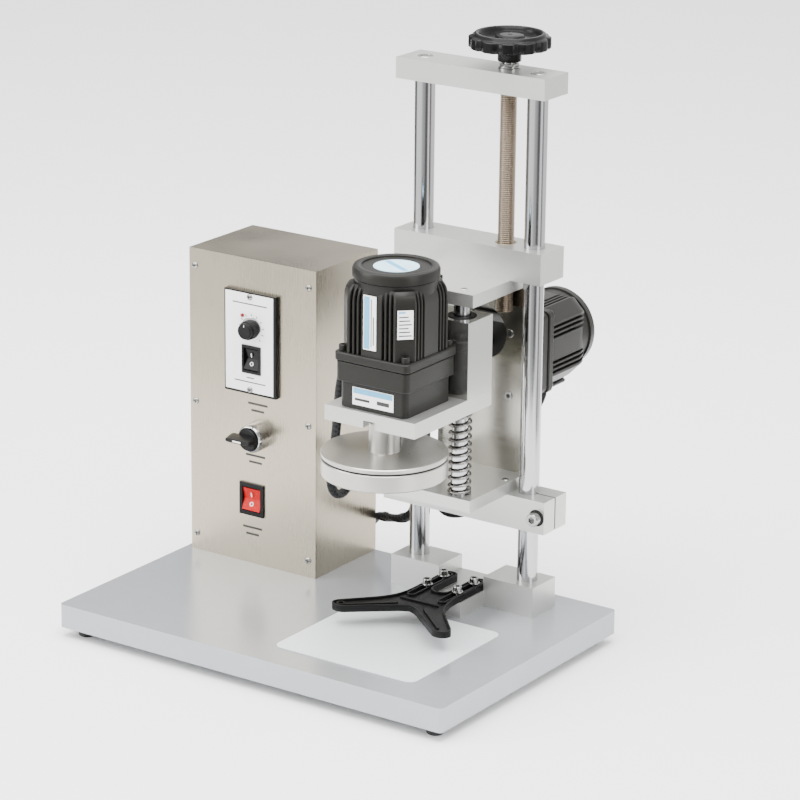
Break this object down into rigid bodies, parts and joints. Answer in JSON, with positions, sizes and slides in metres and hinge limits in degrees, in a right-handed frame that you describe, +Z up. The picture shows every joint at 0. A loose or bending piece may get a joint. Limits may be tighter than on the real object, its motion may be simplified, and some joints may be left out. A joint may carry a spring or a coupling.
{
  "type": "bench-top capping machine",
  "caption": "Bench-top cap tightening machine: a motor-driven chuck on a screw-raised carriage over a base with a control box.",
  "frame": {"origin": "on the table, under the middle of the base plate", "axes": "+X to the right seen from the front, +Y to the back, +Z up"},
  "size_m": [0.45, 0.4135, 0.602],
  "materials": {
    "silver_paint": "light silver baked paint, slightly pearly, small chips at the edges",
    "brushed_stainless": "warm brushed stainless sheet with fine vertical grain",
    "polished_steel_plate": "smooth satin steel plate",
    "cast_aluminium": "fine satin milled and bead-blasted aluminium",
    "turned_aluminium": "turned satin aluminium with faint circular grain",
    "ground_rod": "ground and polished bright rod",
    "screw_steel": "oiled turned steel thread",
    "bright_steel": "zinc plated bright steel",
    "spring_steel": "drawn spring wire",
    "chrome_trim": "polished chrome bezel",
    "brass": "machined brass",
    "motor_black": "matt dark grey-black enamel on finned cast aluminium",
    "black_plastic": "moulded black plastic with a fine texture",
    "gloss_black": "smooth black phenolic",
    "red_plastic": "translucent red rocker",
    "rubber_black": "black moulded rubber",
    "lead_sleeve": "black braided sleeve",
    "mat_white": "pale satin sheet",
    "gum_rubber": "natural gum rubber"
  },
  "bodies": {
    "base": {"base_pan": "silver_paint", "foot_front_left": "rubber_black", "foot_front_right": "rubber_black", "foot_back_left": "rubber_black", "foot_back_right": "rubber_black", "work_mat": "mat_white", "foot_block_left": "cast_aluminium", "foot_block_right": "cast_aluminium", "locator_block": "cast_aluminium", "column_left": "ground_rod", "column_right": "ground_rod", "top_beam": "cast_aluminium", "screw_bearing": "bright_steel", "fork_screw_front_left": "bright_steel", "fork_screw_front_right": "bright_steel", "fork_screw_back_left": "bright_steel", "fork_screw_back_right": "bright_steel", "control_box": "brushed_stainless", "front_cover": "brushed_stainless", "speed_unit": "black_plastic", "selector_bezel": "chrome_trim", "power_switch": "gloss_black", "cable_gland": "black_plastic", "mains_gland": "black_plastic", "twin_lead": "lead_sleeve"},
    "screw": {"lead_screw": "screw_steel", "handwheel": "gloss_black"},
    "carriage": {"upper_crosshead": "cast_aluminium", "lower_crosshead": "cast_aluminium", "lead_nut": "brass", "top_plate": "cast_aluminium", "shelf_plate": "cast_aluminium", "back_plate": "polished_steel_plate", "clamp_bolt_left": "bright_steel", "clamp_bolt_right": "bright_steel", "guide_rod_left": "ground_rod", "guide_rod_right": "ground_rod", "spring_left": "spring_steel", "spring_right": "spring_steel", "rear_gearbox": "motor_black", "rear_motor": "motor_black", "cable_clip": "black_plastic", "rear_motor_lead": "lead_sleeve"},
    "crank": {"crank": "bright_steel"},
    "head": {"slide_block": "cast_aluminium", "motor_plate": "cast_aluminium", "bushing_left": "black_plastic", "bushing_right": "black_plastic", "press_ledge": "bright_steel", "front_gearbox": "motor_black", "front_motor": "motor_black", "front_motor_lead": "lead_sleeve"},
    "chuck": {"drive_disc": "turned_aluminium", "cap_ring": "turned_aluminium", "cap_rubber": "gum_rubber"},
    "speed_knob": {"speed_knob": "black_plastic"},
    "speed_rocker": {"speed_rocker": "gloss_black"},
    "selector": {"selector_handle": "black_plastic"},
    "power_rocker": {"power_rocker": "red_plastic"},
    "fork": {"locating_fork": "black_plastic"}
  },
  "joints": [
    {"name": "carriage_lift", "type": "slide", "parent": "base", "child": "carriage", "axis": [0, 0, 1], "range_m": [-0.03, 0.14], "deforming": ["twin_lead"]},
    {"name": "screw_turn", "type": "hinge", "parent": "base", "child": "screw", "pos_m": [0.1192, 0.105, 0.568], "axis": [0, 0, 1], "range_deg": [-25400, 5600]},
    {"name": "head_slide", "type": "slide", "parent": "carriage", "child": "head", "axis": [0, 0, -1], "range_m": [0, 0.025], "stiffness_N_per_m": 8400, "springref_m": -0.012, "deforming": ["spring_left", "spring_right"]},
    {"name": "crank_turn", "type": "hinge", "parent": "carriage", "child": "crank", "pos_m": [0.088, 0, 0.291], "axis": [0, 1, 0], "range_deg": [0, 181]},
    {"name": "chuck_spin", "type": "hinge", "parent": "head", "child": "chuck", "pos_m": [0.088, -0.0495, 0.227], "axis": [0, 0, 1], "continuous": true},
    {"name": "speed_knob_turn", "type": "hinge", "parent": "base", "child": "speed_knob", "pos_m": [-0.137, 0.0435, 0.2825], "axis": [0, 1, 0], "range_deg": [-40, 240]},
    {"name": "speed_rocker_press", "type": "hinge", "parent": "base", "child": "speed_rocker", "pos_m": [-0.137, 0.0475, 0.2507], "axis": [1, 0, 0], "range_deg": [0, 14]},
    {"name": "selector_turn", "type": "hinge", "parent": "base", "child": "selector", "pos_m": [-0.133, 0.048, 0.171], "axis": [0, 1, 0], "range_deg": [0, 90]},
    {"name": "power_rocker_press", "type": "hinge", "parent": "base", "child": "power_rocker", "pos_m": [-0.1402, 0.051, 0.1023], "axis": [1, 0, 0], "range_deg": [0, 14]},
    {"name": "fork_adjust", "type": "slide", "parent": "base", "child": "fork", "axis": [0, 1, 0], "range_m": [-0.006, 0.025]}
  ],
  "couplings": [
    {"joint": "screw_turn", "follows": "carriage_lift", "rad_per_m": -3141.6},
    {"joint": "crank_turn", "follows": "head_slide", "rad_per_m": 125.66}
  ]
}
